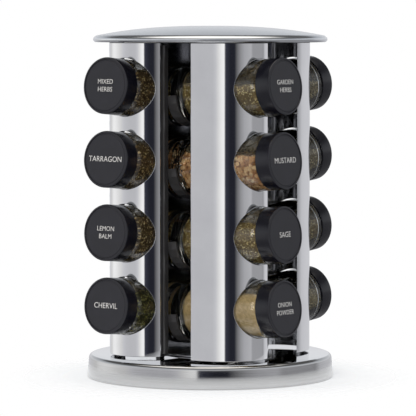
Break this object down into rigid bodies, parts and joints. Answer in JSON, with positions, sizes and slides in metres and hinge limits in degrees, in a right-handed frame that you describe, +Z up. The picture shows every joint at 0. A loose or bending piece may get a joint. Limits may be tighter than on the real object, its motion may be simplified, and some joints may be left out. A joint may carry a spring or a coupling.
{
  "type": "spice carousel",
  "caption": "Round revolving countertop rack: curved mirror-steel panels hold capped glass spice jars in staggered columns between a domed steel lid and a low round base.",
  "frame": {"origin": "on the table, where the tower's axis meets it", "axes": "+Z up along the tower's axis; the front of the rack, with two columns of caps to its left and right, faces -Y"},
  "size_m": [0.1908, 0.1908, 0.27],
  "materials": {
    "polished_steel": "mirror-polished stainless sheet",
    "brushed_steel": "turned side brushed round the rim, polished top",
    "satin_steel": "fine satin",
    "bearing_steel": "ground",
    "zinc_steel": "zinc plated",
    "black_plastic": "moulded matt",
    "cap_plastic": "moulded, satin face and glossy skirt",
    "clear_glass": "clear, thick bottomed",
    "rubber": "matt"
  },
  "bodies": {
    "base": {"base_shell": "brushed_steel", "base_floor": "black_plastic", "lower_race": "bearing_steel", "foot_1": "rubber", "foot_2": "rubber", "foot_3": "rubber", "foot_4": "rubber"},
    "ball_cage": {"ball_cage": "bearing_steel"},
    "tower": {"turn_hub": "black_plastic", "upper_race": "bearing_steel", "tie_rod": "zinc_steel", "bottom_nut": "zinc_steel", "top_nut": "zinc_steel", "centre_tube": "zinc_steel", "tower_floor": "zinc_steel", "lid_plate": "black_plastic", "lid_shell": "satin_steel", "panel_1": "polished_steel", "panel_2": "polished_steel", "panel_3": "polished_steel", "panel_4": "polished_steel", "jar_rest_1": "black_plastic", "jar_rest_2": "black_plastic", "jar_rest_3": "black_plastic", "jar_rest_4": "black_plastic"},
    "jar_1_1": {"jar_1_1": "clear_glass"},
    "cap_1_1": {"cap_1_1": "cap_plastic"},
    "jar_1_2": {"jar_1_2": "clear_glass"},
    "cap_1_2": {"cap_1_2": "cap_plastic"},
    "jar_1_3": {"jar_1_3": "clear_glass"},
    "cap_1_3": {"cap_1_3": "cap_plastic"},
    "jar_1_4": {"jar_1_4": "clear_glass"},
    "cap_1_4": {"cap_1_4": "cap_plastic"},
    "jar_2_1": {"jar_2_1": "clear_glass"},
    "cap_2_1": {"cap_2_1": "cap_plastic"},
    "jar_2_2": {"jar_2_2": "clear_glass"},
    "cap_2_2": {"cap_2_2": "cap_plastic"},
    "jar_2_3": {"jar_2_3": "clear_glass"},
    "cap_2_3": {"cap_2_3": "cap_plastic"},
    "jar_2_4": {"jar_2_4": "clear_glass"},
    "cap_2_4": {"cap_2_4": "cap_plastic"},
    "jar_3_1": {"jar_3_1": "clear_glass"},
    "cap_3_1": {"cap_3_1": "cap_plastic"},
    "jar_3_2": {"jar_3_2": "clear_glass"},
    "cap_3_2": {"cap_3_2": "cap_plastic"},
    "jar_3_3": {"jar_3_3": "clear_glass"},
    "cap_3_3": {"cap_3_3": "cap_plastic"},
    "jar_3_4": {"jar_3_4": "clear_glass"},
    "cap_3_4": {"cap_3_4": "cap_plastic"},
    "jar_4_1": {"jar_4_1": "clear_glass"},
    "cap_4_1": {"cap_4_1": "cap_plastic"},
    "jar_4_2": {"jar_4_2": "clear_glass"},
    "cap_4_2": {"cap_4_2": "cap_plastic"},
    "jar_4_3": {"jar_4_3": "clear_glass"},
    "cap_4_3": {"cap_4_3": "cap_plastic"},
    "jar_4_4": {"jar_4_4": "clear_glass"},
    "cap_4_4": {"cap_4_4": "cap_plastic"}
  },
  "joints": [
    {"name": "carousel_spin", "type": "hinge", "parent": "base", "child": "tower", "pos_m": [0, 0, 0], "axis": [0, 0, 1], "continuous": true},
    {"name": "ball_cage_spin", "type": "hinge", "parent": "base", "child": "ball_cage", "pos_m": [0, 0, 0], "axis": [0, 0, 1], "continuous": true},
    {"name": "jar_slide_1_1", "type": "slide", "parent": "tower", "child": "jar_1_1", "axis": [-0.6133, -0.785, 0.0872], "range_m": [0, 0.072]},
    {"name": "cap_twist_1_1", "type": "hinge", "parent": "jar_1_1", "child": "cap_1_1", "pos_m": [-0.07539, -0.05142, 0.22481], "axis": [-0.6133, -0.785, 0.0872], "range_deg": [0, 450]},
    {"name": "jar_slide_1_2", "type": "slide", "parent": "tower", "child": "jar_1_2", "axis": [-0.6133, -0.785, 0.0872], "range_m": [0, 0.072]},
    {"name": "cap_twist_1_2", "type": "hinge", "parent": "jar_1_2", "child": "cap_1_2", "pos_m": [-0.07539, -0.05142, 0.16951], "axis": [-0.6133, -0.785, 0.0872], "range_deg": [0, 450]},
    {"name": "jar_slide_1_3", "type": "slide", "parent": "tower", "child": "jar_1_3", "axis": [-0.6133, -0.785, 0.0872], "range_m": [0, 0.072]},
    {"name": "cap_twist_1_3", "type": "hinge", "parent": "jar_1_3", "child": "cap_1_3", "pos_m": [-0.07539, -0.05142, 0.11421], "axis": [-0.6133, -0.785, 0.0872], "range_deg": [0, 450]},
    {"name": "jar_slide_1_4", "type": "slide", "parent": "tower", "child": "jar_1_4", "axis": [-0.6133, -0.785, 0.0872], "range_m": [0, 0.072]},
    {"name": "cap_twist_1_4", "type": "hinge", "parent": "jar_1_4", "child": "cap_1_4", "pos_m": [-0.07539, -0.05142, 0.05891], "axis": [-0.6133, -0.785, 0.0872], "range_deg": [0, 450]},
    {"name": "jar_slide_2_1", "type": "slide", "parent": "tower", "child": "jar_2_1", "axis": [0.785, -0.6133, 0.0872], "range_m": [0, 0.072]},
    {"name": "cap_twist_2_1", "type": "hinge", "parent": "jar_2_1", "child": "cap_2_1", "pos_m": [0.05142, -0.07539, 0.22481], "axis": [0.785, -0.6133, 0.0872], "range_deg": [0, 450]},
    {"name": "jar_slide_2_2", "type": "slide", "parent": "tower", "child": "jar_2_2", "axis": [0.785, -0.6133, 0.0872], "range_m": [0, 0.072]},
    {"name": "cap_twist_2_2", "type": "hinge", "parent": "jar_2_2", "child": "cap_2_2", "pos_m": [0.05142, -0.07539, 0.16951], "axis": [0.785, -0.6133, 0.0872], "range_deg": [0, 450]},
    {"name": "jar_slide_2_3", "type": "slide", "parent": "tower", "child": "jar_2_3", "axis": [0.785, -0.6133, 0.0872], "range_m": [0, 0.072]},
    {"name": "cap_twist_2_3", "type": "hinge", "parent": "jar_2_3", "child": "cap_2_3", "pos_m": [0.05142, -0.07539, 0.11421], "axis": [0.785, -0.6133, 0.0872], "range_deg": [0, 450]},
    {"name": "jar_slide_2_4", "type": "slide", "parent": "tower", "child": "jar_2_4", "axis": [0.785, -0.6133, 0.0872], "range_m": [0, 0.072]},
    {"name": "cap_twist_2_4", "type": "hinge", "parent": "jar_2_4", "child": "cap_2_4", "pos_m": [0.05142, -0.07539, 0.05891], "axis": [0.785, -0.6133, 0.0872], "range_deg": [0, 450]},
    {"name": "jar_slide_3_1", "type": "slide", "parent": "tower", "child": "jar_3_1", "axis": [0.6133, 0.785, 0.0872], "range_m": [0, 0.072]},
    {"name": "cap_twist_3_1", "type": "hinge", "parent": "jar_3_1", "child": "cap_3_1", "pos_m": [0.07539, 0.05142, 0.22481], "axis": [0.6133, 0.785, 0.0872], "range_deg": [0, 450]},
    {"name": "jar_slide_3_2", "type": "slide", "parent": "tower", "child": "jar_3_2", "axis": [0.6133, 0.785, 0.0872], "range_m": [0, 0.072]},
    {"name": "cap_twist_3_2", "type": "hinge", "parent": "jar_3_2", "child": "cap_3_2", "pos_m": [0.07539, 0.05142, 0.16951], "axis": [0.6133, 0.785, 0.0872], "range_deg": [0, 450]},
    {"name": "jar_slide_3_3", "type": "slide", "parent": "tower", "child": "jar_3_3", "axis": [0.6133, 0.785, 0.0872], "range_m": [0, 0.072]},
    {"name": "cap_twist_3_3", "type": "hinge", "parent": "jar_3_3", "child": "cap_3_3", "pos_m": [0.07539, 0.05142, 0.11421], "axis": [0.6133, 0.785, 0.0872], "range_deg": [0, 450]},
    {"name": "jar_slide_3_4", "type": "slide", "parent": "tower", "child": "jar_3_4", "axis": [0.6133, 0.785, 0.0872], "range_m": [0, 0.072]},
    {"name": "cap_twist_3_4", "type": "hinge", "parent": "jar_3_4", "child": "cap_3_4", "pos_m": [0.07539, 0.05142, 0.05891], "axis": [0.6133, 0.785, 0.0872], "range_deg": [0, 450]},
    {"name": "jar_slide_4_1", "type": "slide", "parent": "tower", "child": "jar_4_1", "axis": [-0.785, 0.6133, 0.0872], "range_m": [0, 0.072]},
    {"name": "cap_twist_4_1", "type": "hinge", "parent": "jar_4_1", "child": "cap_4_1", "pos_m": [-0.05142, 0.07539, 0.22481], "axis": [-0.785, 0.6133, 0.0872], "range_deg": [0, 450]},
    {"name": "jar_slide_4_2", "type": "slide", "parent": "tower", "child": "jar_4_2", "axis": [-0.785, 0.6133, 0.0872], "range_m": [0, 0.072]},
    {"name": "cap_twist_4_2", "type": "hinge", "parent": "jar_4_2", "child": "cap_4_2", "pos_m": [-0.05142, 0.07539, 0.16951], "axis": [-0.785, 0.6133, 0.0872], "range_deg": [0, 450]},
    {"name": "jar_slide_4_3", "type": "slide", "parent": "tower", "child": "jar_4_3", "axis": [-0.785, 0.6133, 0.0872], "range_m": [0, 0.072]},
    {"name": "cap_twist_4_3", "type": "hinge", "parent": "jar_4_3", "child": "cap_4_3", "pos_m": [-0.05142, 0.07539, 0.11421], "axis": [-0.785, 0.6133, 0.0872], "range_deg": [0, 450]},
    {"name": "jar_slide_4_4", "type": "slide", "parent": "tower", "child": "jar_4_4", "axis": [-0.785, 0.6133, 0.0872], "range_m": [0, 0.072]},
    {"name": "cap_twist_4_4", "type": "hinge", "parent": "jar_4_4", "child": "cap_4_4", "pos_m": [-0.05142, 0.07539, 0.05891], "axis": [-0.785, 0.6133, 0.0872], "range_deg": [0, 450]}
  ],
  "couplings": [
    {"joint": "ball_cage_spin", "follows": "carousel_spin", "ratio": 0.5}
  ]
}
